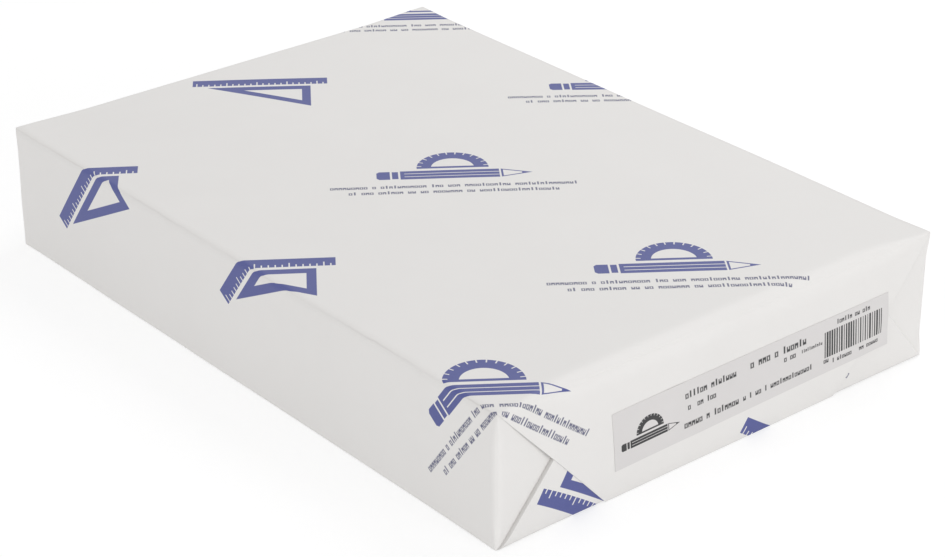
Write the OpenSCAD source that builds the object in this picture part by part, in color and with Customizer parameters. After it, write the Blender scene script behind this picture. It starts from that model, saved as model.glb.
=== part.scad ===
// Sealed pack of drawing paper: a ream of sheets in one folded paper wrapper,
// closed at both ends with envelope folds, and a paper label stuck on one end.
// The origin is at the middle of the underside. X runs across the pack, Y along
// it and Z up. The labelled end faces -Y.

/* [Sheets] */
// Width of one sheet
sheet_w = 210; // [148:1:297]
// Length of one sheet
sheet_l = 297; // [210:1:420]
// Number of sheets in the pack
sheet_count = 250; // [200:10:300]
// Thickness of one sheet
sheet_t = 0.206; // [0.18:0.002:0.26]

/* [Wrapper] */
// Thickness of the wrapping paper
wrap_t = 0.15; // [0.1:0.01:0.25]
// Slack between the sheets and the wrapper on each long side
side_slack = 0.35; // [0.1:0.05:1]
// Slack between the sheets and the wrapper at each end
end_slack = 0.05; // [0:0.05:0.5]
// Slack between the top sheet and the wrapper
top_slack = 0.3; // [0:0.05:1]
// Distance that each folded end flap stands out from the one under it
flap_step = 0.6; // [0.4:0.1:1]
// Radius of the fold along the slanted sides of a flap
fold_r = 0.4; // [0.1:0.05:0.4]
// Distance that the lap's outer ply runs past the middle of the underside
lap_past_middle = 24; // [10:1:40]

/* [Soft edges] */
// Radius of the long edges on top
long_top_r = 2.5; // [1:0.5:5]
// Radius of the long edges at the underside
long_low_r = 2; // [1:0.5:5]
// Radius of the upright edges at the four corners
corner_r = 4; // [2:0.5:6]
// Radius where the wrapper rolls over from the top to an end
end_top_r = 6; // [3:0.5:9]
// Radius of the fold from the underside to an end
end_low_r = 2.5; // [1:0.5:5]

/* [Label] */
// Width of the label
label_w = 138; // [60:1:150]
// Height of the label
label_h = 25; // [15:1:30]
// Thickness of the label
label_t = 0.15; // [0.1:0.05:0.3]
// Distance of the label's middle from the middle of the pack, across
label_x = 16; // [-20:1:20]
// Height of the label's middle above the underside
label_z = 21.7; // [18:0.1:32]
// Distance over which the label bends down beside the top flap's edge
label_bend = 4; // [2:0.5:8]

/* [Hidden] */
$fn = 64;
lap_step = 2 * wrap_t;
stack_h = sheet_count * sheet_t;
pack_w = sheet_w + 2 * (side_slack + wrap_t);
pack_h = stack_h + top_slack + wrap_t + lap_step;
tuck_l = sheet_l + 2 * (end_slack + wrap_t);
bottom_flap_l = tuck_l + 2 * flap_step;
top_flap_l = bottom_flap_l + 2 * flap_step;
past_all = 10;

// What a radius takes off a square corner at the origin, which opens towards +X +Y
module corner_waste(r) {
    difference() {
        translate([-1, -1])
            square(r + 1);
        translate([r, r])
            circle(r);
    }
}

// Rectangle that stands on the X axis, centred on Y, with its own radius for the
// two corners on the axis and for the two above
module soft_rect(width, height, low_r, high_r) {
    difference() {
        translate([-width / 2, 0])
            square([width, height]);
        for (side = [0, 1])
            mirror([side, 0]) {
                translate([-width / 2, 0])
                    corner_waste(low_r);
                translate([-width / 2, height])
                    mirror([0, 1])
                        corner_waste(high_r);
            }
    }
}

// Whole outer form of one band of the wrapper: its outline from above, cut to its
// outline along the pack
module band_form(length) {
    intersection() {
        translate([0, -length / 2, 0])
            linear_extrude(pack_h)
                soft_rect(pack_w, length, corner_r, corner_r);
        translate([-pack_w / 2, 0, 0])
            rotate([90, 0, 90])
                linear_extrude(pack_w)
                    soft_rect(length, pack_h, end_low_r, end_top_r);
    }
}

// All that lies on one side of a 45 degree plane, which rises inwards from the long
// edge at -X, z = 0. Its edges on the two ends are rounded, as a fold is.
module fold_side(length) {
    translate([-pack_w / 2, 0, 0])
        rotate([0, 45, 0])
            linear_extrude(4 * pack_w, center = true)
                rotate(-90)
                    soft_rect(length, 2 * pack_w, fold_r, fold_r);
}

// All that a band covers which hangs from creases at z = 0: the flap at each end of
// the pack, with both slanted sides, and what lies between the two flaps
module flap_mask(length) {
    intersection() {
        fold_side(length);
        mirror([1, 0, 0])
            fold_side(length);
    }
}

// The band that comes up from the underside
module bottom_band() {
    intersection() {
        band_form(bottom_flap_l);
        flap_mask(bottom_flap_l);
    }
}

// The band that comes down from the top, over the other
module top_band() {
    intersection() {
        band_form(top_flap_l);
        translate([0, 0, pack_h])
            mirror([0, 0, 1])
                flap_mask(top_flap_l);
    }
}

// Cross-section of the pack with its soft long edges, and the shallow step under
// it where the outer ply of the lap ends
module pack_section() {
    difference() {
        soft_rect(pack_w, pack_h, long_low_r, long_top_r);
        translate([lap_past_middle, -1])
            square([pack_w, 1 + lap_step]);
    }
}

// The stack of sheets and the wrapper around it: tucks first, then the flaps from
// the underside, then the flaps from the top, with all their outer faces
module wrapped_pack() {
    color([0.87, 0.87, 0.86])
        intersection() {
            union() {
                band_form(tuck_l);
                bottom_band();
                top_band();
            }
            translate([0, sheet_l, 0])
                rotate([90, 0, 0])
                    linear_extrude(2 * sheet_l)
                        pack_section();
        }
}

// Section of the label across the top flap's far edge: it lies on the top flap,
// bends down beside the flap's edge and lies on the flap from the underside.
// x = 0 is the edge, and y = 0 is the top flap's face.
module label_section() {
    polygon([
        [-2 * label_w, 0],
        [-2 * label_w, -label_t],
        [0, -label_t],
        [label_bend, flap_step - label_t],
        [2 * label_w, flap_step - label_t],
        [2 * label_w, flap_step],
        [label_bend, flap_step],
        [0, 0]
    ]);
}

// The label, stuck over the top flap on the end at -Y
module label() {
    color([0.84, 0.83, 0.83])
        intersection() {
            translate([label_x - label_w / 2, -top_flap_l / 2 + past_all, label_z - label_h / 2])
                rotate([90, 0, 0])
                    linear_extrude(2 * past_all)
                        square([label_w, label_h]);
            translate([pack_w / 2, -top_flap_l / 2, pack_h])
                rotate([0, 45, 0])
                    linear_extrude(4 * pack_w, center = true)
                        label_section();
        }
}

wrapped_pack();
label();
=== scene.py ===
from math import cos, radians, sin

import bmesh
import bpy
import numpy as np
from mathutils import Matrix, Vector


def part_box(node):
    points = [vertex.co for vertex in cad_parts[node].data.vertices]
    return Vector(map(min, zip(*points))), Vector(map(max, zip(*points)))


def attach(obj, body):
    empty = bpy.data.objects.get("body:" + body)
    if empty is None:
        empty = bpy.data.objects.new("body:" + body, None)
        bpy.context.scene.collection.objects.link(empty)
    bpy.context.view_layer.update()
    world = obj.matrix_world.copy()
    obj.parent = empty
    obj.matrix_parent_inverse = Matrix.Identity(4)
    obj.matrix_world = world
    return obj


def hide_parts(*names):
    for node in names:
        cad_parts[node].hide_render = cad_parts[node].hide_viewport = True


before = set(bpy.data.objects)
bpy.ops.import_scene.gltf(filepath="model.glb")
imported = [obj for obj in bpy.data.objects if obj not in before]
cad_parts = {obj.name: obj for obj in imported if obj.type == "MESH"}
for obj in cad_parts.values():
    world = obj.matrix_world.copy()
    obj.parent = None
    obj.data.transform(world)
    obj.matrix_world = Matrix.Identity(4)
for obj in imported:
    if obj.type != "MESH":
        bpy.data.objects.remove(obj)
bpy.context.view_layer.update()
scene = bpy.context.scene

# The camera stands about a metre from the pack, off its near corner and a little above
# it, with a long lens, and looks at the labelled end, the left side and the top.
camera_data = bpy.data.cameras.new("camera")
camera_data.sensor_width = 36
camera_data.lens = 97.79
camera = bpy.data.objects.new("camera", camera_data)
camera_place = Vector((-0.5721, -0.6932, 0.4693))
camera_aim = Vector((0.0009, -0.0102, 0.0120))
camera_turn = (camera_aim - camera_place).to_track_quat("-Z", "Y").to_matrix()
camera_roll = radians(0.105)
camera_turn = camera_turn @ Matrix.Rotation(camera_roll, 3, "Z")
camera.matrix_world = Matrix.Translation(camera_place) @ camera_turn.to_4x4()
scene.collection.objects.link(camera)
scene.camera = camera

# The wrapper is one sheet of thin white coated paper with a blue print, folded round
# the stack of drawing paper. Its long edges lap under the pack and are glued. Both ends
# close with an envelope fold: the sides go in first, then the flap from below, and the
# flap from above is glued over them.
MM = 0.001
pack_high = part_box("wrapped_pack")[1]
tuck_inset = 0.4 * MM
half_w = pack_high.x
half_l = pack_high.y - tuck_inset
pack_h = pack_high.z
paper_t = 0.1 * MM
lap_step = 0.3 * MM
inner_lap_x = -1 * MM
outer_lap_x = 24 * MM
top_flap_depth = 52.15 * MM
bottom_flap_depth = 41 * MM
tuck_depth = 34 * MM

# Distances round the flat sheet, from the edge of the lap's inner ply, of the four
# long creases, and then of the edge of the outer ply
crease_u = np.cumsum([half_w - inner_lap_x, pack_h, 2 * half_w, pack_h])
sheet_u = crease_u[3] + half_w + outer_lap_x

# A slanted fold runs steeper than 45 degrees on the pack, because the paper is slack
# there, and the flap from below stands open at the left and less at the right. The
# leans are the distances in from the side for each unit of depth, and the flap from
# below also starts a little in from the corner.
top_lean, low_lean = 0.93, 0.81
low_start, low_start_reach = 0.8 * MM, 1.5 * MM
lean_reach = 40 * MM
bulge_reach = 12 * MM
bulge_left, bulge_right = 1.2 * MM, 0.4 * MM
wall_reach = 0.5 * MM


def ease(t):
    """Rises smoothly from 0 at t = 0 to 1 at t = 1: 3 t squared minus 2 t cubed."""
    t = np.clip(t, 0, 1)
    return t * t * (3 - 2 * t)


def bulge(x, inward, height):
    """How far an end stands off round the fold of the flap from below: its side's value
    on the line from the lower corner to about where the two flaps' folds cross, and
    less with distance from it, exponentially. inward counts from the pack's side."""
    cross_up = top_lean * pack_h / (top_lean + low_lean)
    cross_in = low_lean * cross_up
    along = (inward * cross_in + height * cross_up) / (cross_in**2 + cross_up**2)
    along = np.clip(along, 0, 1)
    away = np.hypot(inward - along * cross_in, height - along * cross_up)
    return np.where(x < 0, bulge_left, bulge_right) * np.exp(-away / bulge_reach)


# How far the top flap stands out at first and where it lies on the bottom flap, how
# much closer its foot is, and the depths over which each takes effect
top_stand, top_spread, top_foot = 0.4 * MM, 0.52 * MM, 0.25 * MM
top_stand_reach, top_spread_reach, top_foot_reach = 2.5 * MM, 16 * MM, 4 * MM


def top_flap_out(x, inward, depth):
    """Distance of the top flap from the tucked side: nothing at its crease, then a
    part that rises in the first millimetres and one that rises with the bulge."""
    rise = 1 - np.exp(-depth / top_stand_reach)
    spread = ease(depth / top_spread_reach)
    spread = spread * (top_spread + bulge(x, inward, pack_h - depth))
    foot = top_foot * ease((depth - pack_h) / top_foot_reach + 1)
    return (top_stand + spread - foot) * rise


# How far the bottom flap stands out and the depth over which it rises, and where the
# top flap starts to press on it
low_stand, low_stand_reach = 0.45 * MM, 1.3 * MM
pressed_from, pressed_reach = 28 * MM, 12 * MM


def bottom_flap_out(x, inward, depth):
    """Distance of the bottom flap from the tucked side, which rises from its crease
    and with the bulge, and where the top flap presses on it by less."""
    rise = 1 - np.exp(-depth / low_stand_reach)
    pressed = 1 - 0.5 * ease((depth - pressed_from) / pressed_reach)
    return (low_stand + bulge(x, inward, depth) * pressed) * rise


# The ply behind the top flap lies back from it by a share of its distance from the
# tucked side, and by little where the bottom flap is under it. The ply behind the
# bottom flap lies near the side. The lap's inner ply is a little closer than its outer.
ply_gap, ply_gap_over_flap = 0.6, 0.45 * MM
over_flap_from, over_flap_reach = 18 * MM, 5 * MM
low_ply_share = 0.03
inner_ply_in, inner_ply_reach = 0.15 * MM, 4 * MM


def fold_sharply(u, v):
    """Places points of the flat sheet on the pack with sharp creases. u runs round the
    pack and v along it. Past an end, what lies outside the 45 degree line from a corner
    is mirrored in that line, which makes the ply behind a flap's slanted fold. The
    bottom flap drops to that ply over the wall's reach, because its fold isn't pressed."""
    end = np.sign(v)
    past = np.maximum(np.abs(v) - half_l, 0)
    panel = np.searchsorted(crease_u, u)
    x = np.choose(panel, [inner_lap_x + u, half_w, half_w - (u - crease_u[1]), -half_w,
                          -half_w + (u - crease_u[3])])
    z = np.choose(panel, [lap_step, u - crease_u[0], pack_h, pack_h - (u - crease_u[2]), 0])
    side = (panel == 1) | (panel == 3)
    above = panel == 2
    across = np.abs(x)
    closed = past > 0
    behind = closed & ~side & (across > half_w - past)
    flap = closed & ~side
    depth = np.where(behind, half_w - across, past)
    inward = np.where(behind | side, past, half_w - across)
    low_in = low_lean * depth + low_start * (1 - np.exp(-depth / low_start_reach))
    fold_in = np.where(above, top_lean * depth, low_in)
    slack = (depth - fold_in) * np.exp(-np.abs(inward - depth) / lean_reach)
    inward = np.where(flap, inward - slack, inward)
    x = np.where(closed, np.sign(x) * (half_w - inward), x)
    z = np.where(flap, np.where(above, pack_h - depth, z + depth), z)
    front = np.where(above, top_flap_out(x, inward, depth), bottom_flap_out(x, inward, depth))
    inner_ply = front - inner_ply_in * ease(depth / inner_ply_reach)
    front = np.where(panel == 0, inner_ply, front)
    over_flap = ease((inward - over_flap_from) / over_flap_reach)
    gap = ply_gap * front
    gap = gap + (np.minimum(ply_gap_over_flap, gap) - gap) * over_flap
    back = np.where(above, front - gap, low_ply_share * front)
    share = np.clip(fold_in / np.maximum(inward, 1e-9), 0, 1)
    wall = np.clip((inward - fold_in) / wall_reach, 0, 1)
    front = np.where(above, front, back + (front - back) * wall)
    out = np.where(behind, back * share, front)
    y = np.where(closed, end * (half_l + np.where(flap, out, 0)), v)
    return np.stack([x, y, z], -1)


# Radius over which a fold is softened, and that along the bottom flap's slanted folds
top_fold_soft = 0.35 * MM
open_fold_soft = 0.3 * MM
from_corner_reach = 5 * MM


def softness(u, v):
    """Softening radius at a point of the sheet, which eases to the bottom flap's own
    value a few millimetres from the corner."""
    past = np.maximum(np.abs(v) - half_l, 0)
    panel = np.searchsorted(crease_u, u)
    edge_u = np.min(np.abs(u[..., None] - crease_u), -1)
    from_corner = np.where((panel == 0) | (panel == 4), np.minimum(edge_u, past), 0)
    return top_fold_soft + (open_fold_soft - top_fold_soft) * ease(from_corner / from_corner_reach)


def fold_softly(u, v):
    """Mean of the sharp fold over a disc round each point of the sheet, weighted by one
    minus the square of the distance over the radius, which rounds every fold."""
    samples = 160
    k = np.arange(samples)
    ring = np.sqrt((k + 0.5) / samples)
    turn = k * np.pi * (3 - np.sqrt(5))
    weight = (1 - ring**2) / np.sum(1 - ring**2)
    reach = softness(u, v)
    place = np.zeros(u.shape + (3,))
    for r, a, w in zip(ring, turn, weight):
        place += w * fold_sharply(u + reach * r * np.cos(a), v + reach * r * np.sin(a))
    return place


def let_swell(place):
    """Moves points as slack paper round a stack does: each face swells by less than
    half a millimetre and has long low waves, which are sines, and the underside
    stays flat."""
    x, y, z = place[..., 0], place[..., 1], place[..., 2]
    a, b, c = x / half_w, y / half_l, z / pack_h
    swell_x = (0.3 * (1 - b**4) * np.sin(np.pi * c) + 0.1 * np.sin(31 * y + 9 * c)
               + 0.06 * np.sin(83 * y - 40 * z + 1)) * MM
    swell_y = (0.3 * (1 - a**4) * np.sin(np.pi * c) + 0.08 * np.sin(37 * x + 5 * c + 2)
               + 0.04 * np.sin(95 * x + 60 * z)) * MM
    swell_z = (0.35 * (1 - a**4) * (1 - b**4) + 0.1 * np.sin(29 * x + 23 * y)
               + 0.08 * np.sin(47 * y - 33 * x + 2)) * MM
    return place + np.stack([a * swell_x, b * swell_y, c * swell_z], -1)


def round_edge(a, b, a_edge, b_edge, radius):
    """Rounds the edge of the planes a = a_edge and b = b_edge. Within the radius of
    both, a point is drawn towards the centre of the rounding by its longer part over
    its distance, which turns a square corner into a quarter circle."""
    p = np.maximum(a - (a_edge - radius), 0)
    q = np.maximum(b - (b_edge - radius), 0)
    draw = np.maximum(p, q) / np.maximum(np.hypot(p, q), 1e-9)
    draw = np.where((p > 0) & (q > 0), draw, 1)
    return a - p * (1 - draw), b - q * (1 - draw)


def edge_radius(at_corner, at_middle, away, reach):
    """Radius of an edge in millimetres, which eases from one value at a corner to the
    other over a distance from it."""
    return (at_corner + (at_middle - at_corner) * ease(away / (reach * MM))) * MM


def round_pack(place):
    """Rounds the upright edges, the ends' upper edges, which roll over widely except
    near the corners, and then the lower and the long edges. The near end is softer."""
    x, y, z = place[..., 0], place[..., 1], place[..., 2]
    side, end = np.sign(x), np.sign(y)
    x, y = np.abs(x), np.abs(y)
    from_side, from_end = half_w - x, half_l - y
    from_corner = np.minimum(z, pack_h - z)
    upright, roll = np.where(end < 0, 3, 1.2), np.where(end < 0, 7, 3)
    x, y = round_edge(x, y, half_w, half_l, edge_radius(1, upright, from_corner, 12))
    y, z = round_edge(y, z, half_l, pack_h, edge_radius(0.7, roll, from_side, 36))
    y, under = round_edge(y, -z, half_l, 0, edge_radius(0.5, 0.9, from_side, 12))
    x, z = round_edge(x, -under, half_w, pack_h, edge_radius(0.8, 2, from_end, 20))
    x, under = round_edge(x, -z, half_w, 0, edge_radius(0.5, 1, from_end, 12))
    return np.stack([side * x, end * y, -under], -1)


def graded(length, fine, growth, coarse):
    """Distances from 0 to length whose steps grow from fine by a factor up to coarse."""
    steps = np.minimum(fine * growth ** np.arange(400), coarse)
    marks = np.concatenate([[0], np.cumsum(steps)])
    marks = marks[: np.searchsorted(marks, length) + 1]
    return marks * (length / marks[-1])


def both_ways(length, fine, growth, coarse):
    """The same from both ends of the length to its middle."""
    half = graded(length / 2, fine, growth, coarse)
    return np.concatenate([half, (length - half[::-1])[1:]])


body_rows = both_ways(2 * half_l, 0.5 * MM, 1.22, 7 * MM) - half_l
hem = np.array([0.1, 0.2, 0.32, 0.5, 0.75, 1.05, 1.5, 2.4, 5]) * MM


def strip(reach, low_edge, high_edge, share, low_hem, high_hem):
    """Grid of sheet points (u, v) for one panel with its two ends. The edges are
    functions of the distance past the end's crease, share divides the width between
    them, and a hem of short columns goes round the fold beyond an edge."""
    past = graded(reach, 0.3 * MM, 1.22, 1.8 * MM)[1:]
    rows = np.concatenate([-half_l - past[::-1], body_rows, half_l + past])
    past = np.maximum(np.abs(rows) - half_l, 0)[:, None]
    low, high = low_edge(past), high_edge(past)
    turned = past * hem / (past + hem)
    columns = [low + share * (high - low)]
    if low_hem:
        columns.insert(0, (low - turned)[:, ::-1])
    if high_hem:
        columns.append(high + turned)
    u = np.concatenate(columns, 1)
    return u, np.broadcast_to(rows[:, None], u.shape)


def grid_faces(rows, columns, start):
    """Corner numbers of the quads of a grid whose points are numbered from start."""
    first = (np.arange(rows - 1)[:, None] * columns + np.arange(columns - 1)).ravel() + start
    return np.stack([first, first + columns, first + columns + 1, first + 1], -1)


under_share = both_ways(1, 0.1 * MM / half_w, 1.3, 7 * MM / half_w)
side_share = both_ways(1, 0.2 * MM / pack_h, 1.25, 4 * MM / pack_h)
top_share = both_ways(1, 0.05 * MM / half_w, 1.27, 3.5 * MM / half_w)
tuck_narrows = 0.65
strips = [
    strip(bottom_flap_depth, lambda q: 0 * q, lambda q: crease_u[0] - q, under_share, False, True),
    strip(tuck_depth, lambda q: crease_u[0] + tuck_narrows * q,
          lambda q: crease_u[1] - tuck_narrows * q, side_share, False, False),
    strip(top_flap_depth, lambda q: crease_u[1] + q, lambda q: crease_u[2] - q, top_share,
          True, True),
    strip(tuck_depth, lambda q: crease_u[2] + tuck_narrows * q,
          lambda q: crease_u[3] - tuck_narrows * q, side_share, False, False),
    strip(bottom_flap_depth, lambda q: crease_u[3] + q, lambda q: 0 * q + sheet_u, under_share,
          True, False),
]


def paper_piece(name, places, flat, faces, map_name, thickness):
    """Object of thin paper: the faces, welded, with a map of their places on the flat
    sheet, and a thickness behind them, whose cut edges stay sharp."""
    mesh = bpy.data.meshes.new(name)
    mesh.from_pydata(places.tolist(), [], faces.tolist())
    corner = np.empty(len(mesh.loops), np.int32)
    mesh.loops.foreach_get("vertex_index", corner)
    layer = mesh.uv_layers.new(name=map_name)
    layer.uv.foreach_set("vector", flat[corner].astype(np.float32).ravel())
    work = bmesh.new()
    work.from_mesh(mesh)
    bmesh.ops.remove_doubles(work, verts=work.verts, dist=0.002 * MM)
    work.to_mesh(mesh)
    work.free()
    piece = bpy.data.objects.new(name, mesh)
    scene.collection.objects.link(piece)
    solid = piece.modifiers.new("paper_thickness", "SOLIDIFY")
    solid.thickness = thickness
    solid.offset = -1
    seen = piece.evaluated_get(bpy.context.evaluated_depsgraph_get())
    piece.data = bpy.data.meshes.new_from_object(seen)
    piece.modifiers.clear()
    piece.data.name = name
    piece.data.shade_smooth()
    piece.data.set_sharp_from_angle(angle=radians(55))
    return piece


flat_points, sheet_faces, first_point = [], [], 0
for strip_u, strip_v in strips:
    sheet_faces.append(grid_faces(*strip_u.shape, first_point))
    flat_points.append(np.stack([strip_u.ravel(), strip_v.ravel()], -1))
    first_point += strip_u.size
flat_points = np.concatenate(flat_points)
wrapper_points = fold_softly(flat_points[:, 0], flat_points[:, 1])
wrapper_points = round_pack(let_swell(wrapper_points))
wrapper = paper_piece("wrapper", wrapper_points, flat_points, np.concatenate(sheet_faces),
                      "flat_sheet", paper_t)


def fill(tree, socket, value):
    """Links an output to an input, or sets the input where the value is a number."""
    if isinstance(value, bpy.types.NodeSocket):
        tree.links.new(value, socket)
    else:
        socket.default_value = value


def calc(tree, operation, *values, clamped=False):
    """Math node; returns its output."""
    node = tree.nodes.new("ShaderNodeMath")
    node.operation = operation
    node.use_clamp = clamped
    for socket, value in zip(node.inputs, values):
        fill(tree, socket, value)
    return node.outputs[0]


def rectangle(tree, x, y, middle, half):
    """Distance outside a rectangle, below 0 inside it: the larger of the distances
    past its sides across and along."""
    across = calc(tree, "ABSOLUTE", calc(tree, "SUBTRACT", x, middle[0]))
    up = calc(tree, "ABSOLUTE", calc(tree, "SUBTRACT", y, middle[1]))
    return calc(tree, "MAXIMUM", calc(tree, "SUBTRACT", across, half[0]),
                calc(tree, "SUBTRACT", up, half[1]))


def joined(tree, *shapes):
    """Distance outside all the shapes: the least of theirs."""
    whole = shapes[0]
    for shape in shapes[1:]:
        whole = calc(tree, "MINIMUM", whole, shape)
    return whole


def without(tree, shape, *holes):
    """Distance outside a shape with holes cut in it: the larger of its own and of the
    distance inside each hole."""
    for hole in holes:
        shape = calc(tree, "MAXIMUM", shape, calc(tree, "MULTIPLY", hole, -1))
    return shape


def inked(tree, shape, edge=0.12):
    """Ink from a distance: 1 inside, 0 outside, and straight in between over an edge."""
    return calc(tree, "MULTIPLY_ADD", shape, -1 / edge, 0.5, clamped=True)


def new_group(name, inputs, outputs):
    """Node group with the named number inputs, or vectors where the default is None,
    and the named number outputs; returns it with its inner sockets."""
    group = bpy.data.node_groups.new(name, "ShaderNodeTree")
    for socket, default in inputs.items():
        kind = "NodeSocketVector" if default is None else "NodeSocketFloat"
        made = group.interface.new_socket(socket, in_out="INPUT", socket_type=kind)
        if default is not None:
            made.default_value = default
    for socket in outputs:
        group.interface.new_socket(socket, in_out="OUTPUT", socket_type="NodeSocketFloat")
    start = group.nodes.new("NodeGroupInput")
    end = group.nodes.new("NodeGroupOutput")
    return group, start.outputs, end.inputs


def use_group(tree, group, **values):
    """Places a group in a tree; an input's name is written with _ for a space."""
    node = tree.nodes.new("ShaderNodeGroup")
    node.node_tree = group
    for name, value in values.items():
        fill(tree, node.inputs[name.replace("_", " ")], value)
    return node.outputs


def noise(tree, vector, scale, detail=2.0, rough=0.5):
    """Noise value round 0.5."""
    node = tree.nodes.new("ShaderNodeTexNoise")
    tree.links.new(vector, node.inputs["Vector"])
    node.inputs["Scale"].default_value = scale
    node.inputs["Detail"].default_value = detail
    node.inputs["Roughness"].default_value = rough
    return node.outputs["Fac"]


# Printed mark of a pencil under a protractor, drawn in millimetres round its middle
pencil_mark, mark_in, mark_out = new_group("pencil_mark", {"X": 0, "Y": 0}, ["Ink"])
tree, x, y = pencil_mark, mark_in["X"], mark_in["Y"]
eraser = rectangle(tree, x, y, (-27.2, -6), (2.6, 3.5))
eraser_end = calc(tree, "SUBTRACT", calc(tree, "ABSOLUTE", calc(tree, "ADD", y, 6)),
                  calc(tree, "MULTIPLY_ADD", x, 1, 32.2))
ferrule = rectangle(tree, x, y, (-22.6, -6), (1.2, 3.2))
barrel = without(tree, rectangle(tree, x, y, (-1.4, -6), (19.2, 3.7)),
                 rectangle(tree, x, y, (0, -4.7), (19, 0.22)),
                 rectangle(tree, x, y, (0, -7.3), (19, 0.22)))
slope = calc(tree, "SUBTRACT", calc(tree, "ABSOLUTE", calc(tree, "ADD", y, 6)),
             calc(tree, "MULTIPLY_ADD", x, -0.3, 9.2))
cone = calc(tree, "MAXIMUM", slope, calc(tree, "SUBTRACT", 18.5, x))
wood = calc(tree, "MAXIMUM", calc(tree, "ADD", slope, 0.7), calc(tree, "SUBTRACT", x, 26.6))
wood = calc(tree, "MAXIMUM", wood, calc(tree, "SUBTRACT", 19.3, x))
from_middle = calc(tree, "SQRT", calc(tree, "ADD", calc(tree, "MULTIPLY", x, x),
                                      calc(tree, "MULTIPLY", y, y)))
ring = calc(tree, "ABSOLUTE", calc(tree, "SUBTRACT", from_middle, 11.2))
ring = calc(tree, "MAXIMUM", calc(tree, "SUBTRACT", ring, 2.8), calc(tree, "SUBTRACT", 0.6, y))
tick = calc(tree, "DIVIDE", calc(tree, "ARCTAN2", y, x), radians(15))
tick = calc(tree, "ABSOLUTE", calc(tree, "SUBTRACT", calc(tree, "FRACT", tick), 0.5))
tick = calc(tree, "SUBTRACT", calc(tree, "MULTIPLY", calc(tree, "MULTIPLY", tick, from_middle),
                                   radians(15)), 0.24)
tick = calc(tree, "MAXIMUM", tick, calc(tree, "SUBTRACT", 12.2, from_middle))
protractor = joined(tree, without(tree, ring, tick), rectangle(tree, x, y, (0, 0.4), (14, 0.8)))
tree.links.new(inked(tree, joined(tree, calc(tree, "MAXIMUM", eraser, eraser_end), ferrule,
                                  barrel, without(tree, cone, wood), protractor)),
               mark_out["Ink"])

# Printed mark of a set square on a ruler
square_mark, mark_in, mark_out = new_group("square_mark", {"X": 0, "Y": 0}, ["Ink"])
tree, x, y = square_mark, mark_in["X"], mark_in["Y"]
slant = calc(tree, "MULTIPLY_ADD", x, 0.447, calc(tree, "MULTIPLY_ADD", y, 0.894, -8.3))
square = calc(tree, "MAXIMUM", slant, calc(tree, "SUBTRACT", -21, x))
square = calc(tree, "MAXIMUM", square, calc(tree, "SUBTRACT", -1.6, y))
square = calc(tree, "SUBTRACT", calc(tree, "ABSOLUTE", calc(tree, "ADD", square, 1.8)), 1.8)
comb = calc(tree, "ABSOLUTE", calc(tree, "SUBTRACT", calc(tree, "FRACT",
                                                        calc(tree, "DIVIDE", x, 2.5)), 0.5))
comb = calc(tree, "SUBTRACT", calc(tree, "MULTIPLY", comb, 2.5), 0.25)
long_tick = calc(tree, "LESS_THAN", calc(tree, "FRACT", calc(tree, "DIVIDE", x, 12.5)), 0.2)
comb = calc(tree, "MAXIMUM", comb, calc(tree, "SUBTRACT", calc(tree, "MULTIPLY_ADD", long_tick,
                                                             -1.3, -5.2), y))
ruler = without(tree, rectangle(tree, x, y, (0, -6.6), (28, 3.2)), comb)
tree.links.new(inked(tree, joined(tree, square, ruler)), mark_out["Ink"])

# Row of small printed signs in groups, like unreadable words: each cell along the row
# has a narrow bar or a block with a hole at its middle, foot or head, or is left free
word_row, row_in, row_out = new_group(
    "word_row", {"X": 0, "Y": 0, "Start X": 0, "Start Y": 0, "Length": 20, "Size": 2,
                 "Seed": 0}, ["Ink"])
tree = word_row
cell_width = calc(tree, "MULTIPLY", row_in["Size"], 0.62)
along = calc(tree, "DIVIDE", calc(tree, "SUBTRACT", row_in["X"], row_in["Start X"]),
             cell_width)
up = calc(tree, "DIVIDE", calc(tree, "SUBTRACT", row_in["Y"], row_in["Start Y"]),
          row_in["Size"])
cell_noise = tree.nodes.new("ShaderNodeTexWhiteNoise")
cell_noise.noise_dimensions = "2D"
cell = tree.nodes.new("ShaderNodeCombineXYZ")
tree.links.new(calc(tree, "FLOOR", along), cell.inputs["X"])
tree.links.new(row_in["Seed"], cell.inputs["Y"])
tree.links.new(cell.outputs[0], cell_noise.inputs["Vector"])
cell_parts = tree.nodes.new("ShaderNodeSeparateColor")
tree.links.new(cell_noise.outputs["Color"], cell_parts.inputs["Color"])
narrow = calc(tree, "GREATER_THAN", cell_parts.outputs["Green"], 0.7)
from_middle = calc(tree, "ABSOLUTE", calc(tree, "SUBTRACT", calc(tree, "FRACT", along), 0.5))
tall = calc(tree, "MULTIPLY_ADD", narrow, 0.13, 0.37)
block = calc(tree, "MAXIMUM",
             calc(tree, "ADD", from_middle, calc(tree, "MULTIPLY_ADD", narrow, 0.23, -0.43)),
             calc(tree, "SUBTRACT", calc(tree, "ABSOLUTE", calc(tree, "SUBTRACT", up, tall)),
                  tall))
hole_up = calc(tree, "MULTIPLY_ADD", calc(tree, "GREATER_THAN", cell_parts.outputs["Red"], 0.4),
               -0.22, 0.37)
hole_up = calc(tree, "MULTIPLY_ADD", calc(tree, "GREATER_THAN", cell_parts.outputs["Red"], 0.75),
               0.44, hole_up)
hole = calc(tree, "MAXIMUM",
            calc(tree, "ADD", from_middle, calc(tree, "MULTIPLY_ADD", narrow, 1, -0.14)),
            calc(tree, "SUBTRACT", calc(tree, "ABSOLUTE", calc(tree, "SUBTRACT", up, hole_up)),
                 0.2))
block = without(tree, block, hole)
printed = calc(tree, "MULTIPLY", inked(tree, block, 0.15),
               calc(tree, "GREATER_THAN", cell_parts.outputs["Blue"], 0.17))
last_cell = calc(tree, "DIVIDE", row_in["Length"], cell_width)
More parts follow.
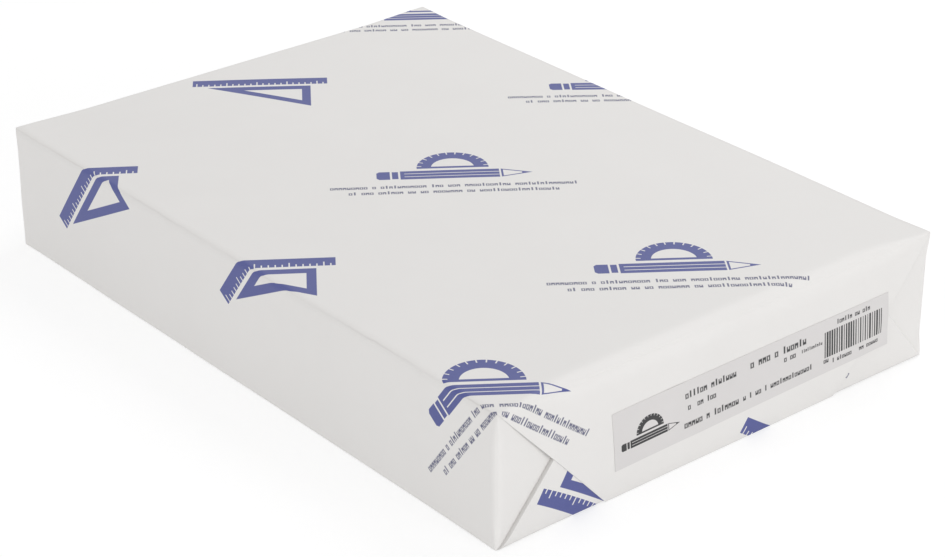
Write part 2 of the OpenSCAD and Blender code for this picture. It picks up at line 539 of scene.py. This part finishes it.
inside = calc(tree, "MULTIPLY", calc(tree, "GREATER_THAN", along, 0),
              calc(tree, "LESS_THAN", calc(tree, "FLOOR", along), last_cell))
tree.links.new(calc(tree, "MULTIPLY", printed, inside), row_out["Ink"])

# Paper's own look: a cloudy tone, a fibre grain and a slow unevenness, for every paper
paper_look, look_in, look_out = new_group("paper_look", {"Vector": None, "Grain Scale": 1800},
                                          ["Cloud", "Grain", "Unevenness"])
tree = paper_look
fine_noise = tree.nodes.new("ShaderNodeTexNoise")
tree.links.new(look_in["Vector"], fine_noise.inputs["Vector"])
tree.links.new(look_in["Grain Scale"], fine_noise.inputs["Scale"])
fine_noise.inputs["Detail"].default_value = 3
tree.links.new(fine_noise.outputs["Fac"], look_out["Grain"])
tree.links.new(noise(tree, look_in["Vector"], 28, 5, 0.6), look_out["Cloud"])
tree.links.new(noise(tree, look_in["Vector"], 55, 2, 0.45), look_out["Unevenness"])

wrapper_paper = bpy.data.materials.new("wrapper_paper")
wrapper_paper.use_nodes = True
tree = wrapper_paper.node_tree
shader = tree.nodes["Principled BSDF"]
object_place = tree.nodes.new("ShaderNodeTexCoord").outputs["Object"]
sheet_map = tree.nodes.new("ShaderNodeUVMap")
sheet_map.uv_map = "flat_sheet"
sheet_parts = tree.nodes.new("ShaderNodeSeparateXYZ")
tree.links.new(sheet_map.outputs["UV"], sheet_parts.inputs[0])
sheet_u_node, sheet_v_node = sheet_parts.outputs["X"], sheet_parts.outputs["Y"]

# The marks stand in slanting rows, each row shifted by half a step, and every other
# mark is a set square, upside down and with no words under it
mark_step, mark_row = 150, 84
mark_turn = radians(-36)
over_x = calc(tree, "MULTIPLY_ADD", sheet_u_node, -1000, float(crease_u[1] + half_w) * 1000)
over_y = calc(tree, "MULTIPLY", sheet_v_node, 1000)
mark_p = calc(tree, "MULTIPLY_ADD", over_x, cos(mark_turn),
              calc(tree, "MULTIPLY", over_y, sin(mark_turn)))
mark_q = calc(tree, "MULTIPLY_ADD", over_x, -sin(mark_turn),
              calc(tree, "MULTIPLY_ADD", over_y, cos(mark_turn), 118))
row_number = calc(tree, "FLOOR", calc(tree, "DIVIDE", mark_q, mark_row))
odd_row = calc(tree, "FLOORED_MODULO", row_number, 2)
mark_p = calc(tree, "MULTIPLY_ADD", odd_row, mark_step / 2, mark_p)
mark_x = calc(tree, "SUBTRACT", calc(tree, "FLOORED_MODULO", mark_p, mark_step), mark_step / 2)
mark_y = calc(tree, "SUBTRACT", calc(tree, "FLOORED_MODULO", mark_q, mark_row), mark_row / 2)
mark_number = calc(tree, "FLOOR", calc(tree, "DIVIDE", mark_p, mark_step))
other = calc(tree, "FLOORED_MODULO", mark_number, 2)
pencils = use_group(tree, pencil_mark, X=mark_x, Y=mark_y)["Ink"]
squares = use_group(tree, square_mark, X=calc(tree, "MULTIPLY", mark_x, -1),
                    Y=calc(tree, "MULTIPLY", mark_y, -1))["Ink"]
words = calc(tree, "MAXIMUM",
             use_group(tree, word_row, X=mark_x, Y=mark_y, Start_X=-48.0, Start_Y=-17.5,
                       Length=96.0, Size=2.6, Seed=1.0)["Ink"],
             use_group(tree, word_row, X=mark_x, Y=mark_y, Start_X=-41.0, Start_Y=-22.5,
                       Length=82.0, Size=2.6, Seed=5.0)["Ink"])
first_kind = calc(tree, "SUBTRACT", 1, other)
mark_ink = calc(tree, "ADD", calc(tree, "MULTIPLY", pencils, first_kind),
                calc(tree, "MULTIPLY", squares, other))
word_ink = calc(tree, "MULTIPLY", words, first_kind)

wrapper_look = use_group(tree, paper_look, Vector=object_place)
# Painted shade along the top's two long creases, where the rounded edges take less light: a thin
# broken line that wanders a little and a wider soft band
crease_wander = calc(tree, "MULTIPLY_ADD", noise(tree, object_place, 90), 0.0024, -0.0012)
wandering_u = calc(tree, "ADD", sheet_u_node, crease_wander)
from_crease = calc(tree, "MINIMUM",
                   calc(tree, "ABSOLUTE", calc(tree, "SUBTRACT", wandering_u, float(crease_u[1]))),
                   calc(tree, "ABSOLUTE", calc(tree, "SUBTRACT", wandering_u, float(crease_u[2]))))
crease_line = calc(tree, "MULTIPLY_ADD", from_crease, -1 / (0.7 * MM), 1, clamped=True)
crease_band = calc(tree, "MULTIPLY_ADD", from_crease, -1 / (3.5 * MM), 1, clamped=True)
crease_part = calc(tree, "MULTIPLY_ADD", noise(tree, object_place, 35), 3, -1, clamped=True)
crease_painted_shade = calc(tree, "MULTIPLY_ADD", calc(tree, "MULTIPLY", crease_line, crease_part), 0.9,
                   calc(tree, "MULTIPLY", crease_band, 0.4))

# Painted shade on the slanted folds, most of all on the bottom flap's open wall at the left, which
# stands off the tucked side in shade
past_end = calc(tree, "SUBTRACT", calc(tree, "ABSOLUTE", sheet_v_node), half_l)
low_in = calc(tree, "SUBTRACT", sheet_u_node, float(crease_u[3]))
top_in = calc(tree, "MINIMUM", calc(tree, "SUBTRACT", sheet_u_node, float(crease_u[1])),
              calc(tree, "SUBTRACT", float(crease_u[2]), sheet_u_node))
low_wall_painted_shade = calc(tree, "SUBTRACT", low_in, past_end)
low_wall_painted_shade = calc(tree, "ABSOLUTE", calc(tree, "SUBTRACT", low_wall_painted_shade, wall_reach / 2))
low_wall_painted_shade = calc(tree, "MULTIPLY_ADD", low_wall_painted_shade, -1 / (0.25 * MM), 1.9, clamped=True)
top_fold_painted_shade = calc(tree, "ABSOLUTE", calc(tree, "SUBTRACT", top_in, past_end))
top_fold_painted_shade = calc(tree, "MULTIPLY_ADD", top_fold_painted_shade, -1 / (0.4 * MM), 1.2, clamped=True)
fold_painted_shade = calc(tree, "MAXIMUM", low_wall_painted_shade, calc(tree, "MULTIPLY", top_fold_painted_shade, 0.15))
fold_painted_shade = calc(tree, "MULTIPLY", fold_painted_shade, calc(tree, "MULTIPLY", past_end, 1 / MM,
                                                 clamped=True))


def blend(tree, share, first, second):
    """Mix of two colours by a share; each may be a number triple or a link. The node's
    colours are its inputs 6 and 7, and the mixed one its output 2."""
    node = tree.nodes.new("ShaderNodeMix")
    node.data_type = "RGBA"
    fill(tree, node.inputs["Factor"], share)
    for socket, value in ((node.inputs[6], first), (node.inputs[7], second)):
        fill(tree, socket, value if isinstance(value, bpy.types.NodeSocket) else (*value, 1))
    return node.outputs[2]


paper_white = blend(tree, wrapper_look["Cloud"], (0.776, 0.761, 0.746), (0.816, 0.801, 0.786))
# Painted shade: the paper is greyer along the long creases
paper_white = blend(tree, calc(tree, "MULTIPLY", crease_painted_shade, 0.65), paper_white,
                    (0.65, 0.63, 0.61))
# Painted shade: grey along the slanted folds, darkest on the bottom flap's wall
paper_white = blend(tree, fold_painted_shade, paper_white, (0.57, 0.555, 0.54))
ink_tone = blend(tree, wrapper_look["Grain"], (0.062, 0.076, 0.26), (0.088, 0.104, 0.31))
printed_tone = blend(tree, mark_ink, paper_white, ink_tone)
printed_tone = blend(tree, calc(tree, "MULTIPLY", word_ink, 0.9), printed_tone,
                     (0.055, 0.062, 0.15))
tree.links.new(printed_tone, shader.inputs["Base Color"])
rough = calc(tree, "MULTIPLY_ADD", wrapper_look["Cloud"], 0.16, 0.46)
tree.links.new(calc(tree, "MULTIPLY_ADD", mark_ink, -0.08, rough), shader.inputs["Roughness"])
slow_bump = tree.nodes.new("ShaderNodeBump")
slow_bump.inputs["Strength"].default_value = 1
slow_bump.inputs["Distance"].default_value = 0.12 * MM
tree.links.new(wrapper_look["Unevenness"], slow_bump.inputs["Height"])
grain_bump = tree.nodes.new("ShaderNodeBump")
grain_bump.inputs["Strength"].default_value = 1
grain_bump.inputs["Distance"].default_value = 0.006 * MM
tree.links.new(wrapper_look["Grain"], grain_bump.inputs["Height"])
tree.links.new(slow_bump.outputs["Normal"], grain_bump.inputs["Normal"])
tree.links.new(grain_bump.outputs["Normal"], shader.inputs["Normal"])
wrapper.data.materials.clear()
wrapper.data.materials.append(wrapper_paper)
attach(wrapper, "root")
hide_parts("wrapped_pack")

# The label is a slip of greyish self-adhesive paper with black print, cut out of square.
# It is stuck on the near end over the top flap, and its far part bends down beside the
# flap's edge and bridges the notch between the two flaps.
label_low, label_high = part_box("label")
label_t = 0.1 * MM
label_off = 0.05 * MM
label_w, label_h = label_high.x - label_low.x, label_high.z - label_low.z
label_drop, drop_reach = 0.28 * MM, 5 * MM
wrinkle_h, wrinkle_half = 0.1 * MM, 5 * MM
wrinkle_x, wrinkle_z, wrinkle_slant = -18 * MM, 20 * MM, 0.6


def label_out(x, z):
    """Distance of the label's back from the tucked side: that of the top flap, less a
    smooth drop past the flap's far edge where the bottom flap is under it, plus a
    long wrinkle."""
    inward, depth = half_w - np.abs(x), pack_h - z
    top = top_flap_out(x, inward, depth)
    past_edge = (top_lean * depth - inward) / np.sqrt(2)
    on_bottom = ease((inward - low_lean * z) / drop_reach + 0.2)
    drop = label_drop * ease(past_edge / drop_reach) * on_bottom * (x > 0)
    from_wrinkle = x - wrinkle_x + wrinkle_slant * (z - wrinkle_z)
    return top - drop + wrinkle_h * np.exp(-(from_wrinkle / wrinkle_half) ** 2)


# The grid has the label's full size, on which its print is laid out. The slip, here in
# millimetres, is a little smaller. Its sides lean to the left, and its far end has a
# higher foot and is less tall.
slip_left, slip_foot = -53.4, 11.05
slip_length, slip_height = 137.6, 23.4
slip_lean, far_foot_up, far_end_less = 2.35, 1.85, 0.8
flat_x, flat_z = np.meshgrid(both_ways(label_w, 0.6 * MM, 1.1, 1.2 * MM),
                             both_ways(label_h, 0.6 * MM, 1.1, 1 * MM), indexing="ij")
label_flat = np.stack([flat_x, flat_z], -1).reshape(-1, 2)
along, up = flat_x / label_w, flat_z / label_h
slip_x = (slip_left + slip_length * along - slip_lean * up) * MM
slip_z = (slip_foot + far_foot_up * along + (slip_height - far_end_less * along) * up) * MM
slip_y = -(half_l + label_out(slip_x, slip_z) + label_off + label_t)
label_points = let_swell(np.stack([slip_x, slip_y, slip_z], -1).reshape(-1, 3))
label = paper_piece("label_slip", label_points, label_flat, grid_faces(*flat_x.shape, 0),
                    "label_sheet", label_t)

label_paper = bpy.data.materials.new("label_paper")
label_paper.use_nodes = True
tree = label_paper.node_tree
shader = tree.nodes["Principled BSDF"]
object_place = tree.nodes.new("ShaderNodeTexCoord").outputs["Object"]
label_map = tree.nodes.new("ShaderNodeUVMap")
label_map.uv_map = "label_sheet"
label_parts = tree.nodes.new("ShaderNodeSeparateXYZ")
tree.links.new(label_map.outputs["UV"], label_parts.inputs[0])
print_x = calc(tree, "MULTIPLY", label_parts.outputs["X"], 1000)
print_y = calc(tree, "MULTIPLY", label_parts.outputs["Y"], 1000)
small_scale, small_x, small_y = 0.46, 17, 11.5
small_mark = use_group(
    tree, pencil_mark,
    X=calc(tree, "MULTIPLY_ADD", print_x, 1 / small_scale, -small_x / small_scale),
    Y=calc(tree, "MULTIPLY_ADD", print_y, 1 / small_scale, -small_y / small_scale))["Ink"]
label_ink = small_mark
# Rows of words as left edge, foot, length and height in millimetres
label_rows = [(34, 17.4, 24, 2.9), (35, 12.2, 13, 2.5), (33, 4.6, 26, 2.9), (66, 17.8, 28, 3.3),
              (83, 13.8, 6, 2.5), (92, 14.2, 10, 1.6), (62, 4.8, 38, 2.5), (109, 20.7, 20, 2.2),
              (108, 3.4, 10, 2.1), (121, 3.4, 11, 2.1), (103.5, 4.6, 1.5, 2.2)]
for number, (left, foot, length, size) in enumerate(label_rows):
    row = use_group(tree, word_row, X=print_x, Y=print_y, Start_X=float(left),
                    Start_Y=float(foot), Length=float(length), Size=float(size),
                    Seed=number * 3.0 + 11)
    label_ink = calc(tree, "MAXIMUM", label_ink, row["Ink"])
# Block of upright bars of uneven width at the far end
bar_step = 1.25
bar_cell = calc(tree, "MULTIPLY", print_x, 1 / bar_step)
bar_noise = tree.nodes.new("ShaderNodeTexWhiteNoise")
bar_noise.noise_dimensions = "1D"
tree.links.new(calc(tree, "FLOOR", bar_cell), bar_noise.inputs["W"])
bars = calc(tree, "SUBTRACT", calc(tree, "ABSOLUTE",
                                   calc(tree, "SUBTRACT", calc(tree, "FRACT", bar_cell), 0.5)),
            calc(tree, "MULTIPLY_ADD", bar_noise.outputs["Value"], 0.32, 0.12))
bars = calc(tree, "MULTIPLY", inked(tree, bars, 0.1),
            inked(tree, rectangle(tree, print_x, print_y, (119.2, 13), (15.2, 6)), 0.1))
label_ink = calc(tree, "MAXIMUM", label_ink, bars)
label_look = use_group(tree, paper_look, Vector=object_place, Grain_Scale=2600.0)
label_grey = blend(tree, label_look["Cloud"], (0.66, 0.64, 0.636), (0.715, 0.695, 0.688))
label_tone = blend(tree, calc(tree, "MULTIPLY", label_ink, 0.99), label_grey,
                   (0.016, 0.016, 0.018))
tree.links.new(label_tone, shader.inputs["Base Color"])
tree.links.new(calc(tree, "MULTIPLY_ADD", label_look["Grain"], 0.12, 0.42),
               shader.inputs["Roughness"])
label_bump = tree.nodes.new("ShaderNodeBump")
label_bump.inputs["Strength"].default_value = 1
label_bump.inputs["Distance"].default_value = 0.02 * MM
tree.links.new(calc(tree, "MULTIPLY_ADD", label_look["Grain"], 0.2,
                    label_look["Unevenness"]), label_bump.inputs["Height"])
tree.links.new(label_bump.outputs["Normal"], shader.inputs["Normal"])
label.data.materials.clear()
label.data.materials.append(label_paper)
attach(label, "root")
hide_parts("label")

# The floor is a plain white table top. The camera sees it partly lit from itself, so
# that it is white and still keeps the pack's shadow.
floor_mesh = bpy.data.meshes.new("floor")
floor_mesh.from_pydata([(-6, -6, 0), (6, -6, 0), (6, 6, 0), (-6, 6, 0)], [], [(0, 1, 2, 3)])
floor = bpy.data.objects.new("floor", floor_mesh)
scene.collection.objects.link(floor)
floor_paint = bpy.data.materials.new("floor_paint")
floor_paint.use_nodes = True
tree = floor_paint.node_tree
tree.nodes.remove(tree.nodes["Principled BSDF"])
plain_floor = tree.nodes.new("ShaderNodeBsdfDiffuse")
plain_floor.inputs["Color"].default_value = (0.8, 0.8, 0.8, 1)
seen_floor = tree.nodes.new("ShaderNodeBsdfDiffuse")
seen_floor.inputs["Color"].default_value = (0.4, 0.4, 0.4, 1)
floor_glow = tree.nodes.new("ShaderNodeEmission")
floor_glow.inputs["Strength"].default_value = 0.66
floor_sum = tree.nodes.new("ShaderNodeAddShader")
tree.links.new(seen_floor.outputs[0], floor_sum.inputs[0])
tree.links.new(floor_glow.outputs[0], floor_sum.inputs[1])


def seen_directly(tree):
    """1 for a ray from the camera, a reflection or a view through glass, else 0."""
    path = tree.nodes.new("ShaderNodeLightPath").outputs
    return calc(tree, "MAXIMUM", path["Is Camera Ray"],
                calc(tree, "MAXIMUM", path["Is Glossy Ray"], path["Is Transmission Ray"]))


floor_mix = tree.nodes.new("ShaderNodeMixShader")
tree.links.new(seen_directly(tree), floor_mix.inputs["Fac"])
tree.links.new(plain_floor.outputs[0], floor_mix.inputs[1])
tree.links.new(floor_sum.outputs[0], floor_mix.inputs[2])
tree.links.new(floor_mix.outputs[0], tree.nodes["Material Output"].inputs["Surface"])
floor_mesh.materials.append(floor_paint)

# The room is an even white light tent, with two large soft lamps low at the left and at
# the front and a smaller one above the right side.
world = bpy.data.worlds.new("room")
scene.world = world
world.use_nodes = True
tree = world.node_tree
room_light = tree.nodes["Background"]
room_light.inputs["Color"].default_value = (1, 1, 1, 1)
room_light.inputs["Strength"].default_value = 0.665
room_wall = tree.nodes.new("ShaderNodeBackground")
room_wall.inputs["Color"].default_value = (1, 1, 1, 1)
room_mix = tree.nodes.new("ShaderNodeMixShader")
tree.links.new(seen_directly(tree), room_mix.inputs["Fac"])
tree.links.new(room_light.outputs[0], room_mix.inputs[1])
tree.links.new(room_wall.outputs[0], room_mix.inputs[2])
tree.links.new(room_mix.outputs[0], tree.nodes["World Output"].inputs["Surface"])


def soft_lamp(name, place, size, power):
    """Square area lamp that faces the pack."""
    data = bpy.data.lights.new(name, "AREA")
    data.shape = "SQUARE"
    data.size = size
    data.energy = power
    lamp = bpy.data.objects.new(name, data)
    lamp.location = place
    lamp.rotation_euler = (-Vector(place)).to_track_quat("-Z", "Y").to_euler()
    scene.collection.objects.link(lamp)


soft_lamp("lamp_left", (-1.6, -0.3, 0.35), 0.9, 6.1)
soft_lamp("lamp_front", (0.2, -1.6, 0.3), 0.9, 8.3)
soft_lamp("lamp_far_right", (0.5, 0.1, 0.8), 0.5, 1.8)

scene.view_settings.view_transform = "Standard"
